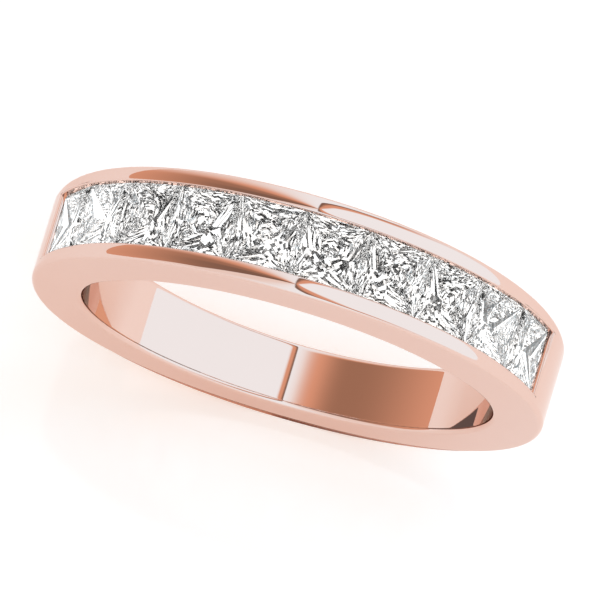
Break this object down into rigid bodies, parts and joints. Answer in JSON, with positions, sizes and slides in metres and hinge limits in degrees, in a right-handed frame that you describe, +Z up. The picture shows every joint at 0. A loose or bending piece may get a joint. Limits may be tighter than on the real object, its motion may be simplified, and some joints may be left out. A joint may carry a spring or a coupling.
{
  "type": "wedding band",
  "caption": "Half-eternity wedding band: a polished rose gold ring with a row of square princess-cut stones set edge to edge in a channel across its top.",
  "frame": {"origin": "the centre of the finger hole, midway between the two side faces", "axes": "+X across the row of stones, +Y along the finger, +Z up through the middle of the row of stones"},
  "size_m": [0.0216, 0.0042, 0.0225],
  "materials": {
    "rose_gold": "mirror-polished 14 carat rose gold with fine handling wear",
    "diamond": "clear and colourless, with sharp polished facets"
  },
  "bodies": {
    "root": {"band": "rose_gold", "stone_01": "diamond", "stone_02": "diamond", "stone_03": "diamond", "stone_04": "diamond", "stone_05": "diamond", "stone_06": "diamond", "stone_07": "diamond", "stone_08": "diamond", "stone_09": "diamond", "stone_10": "diamond"}
  },
  "joints": []
}
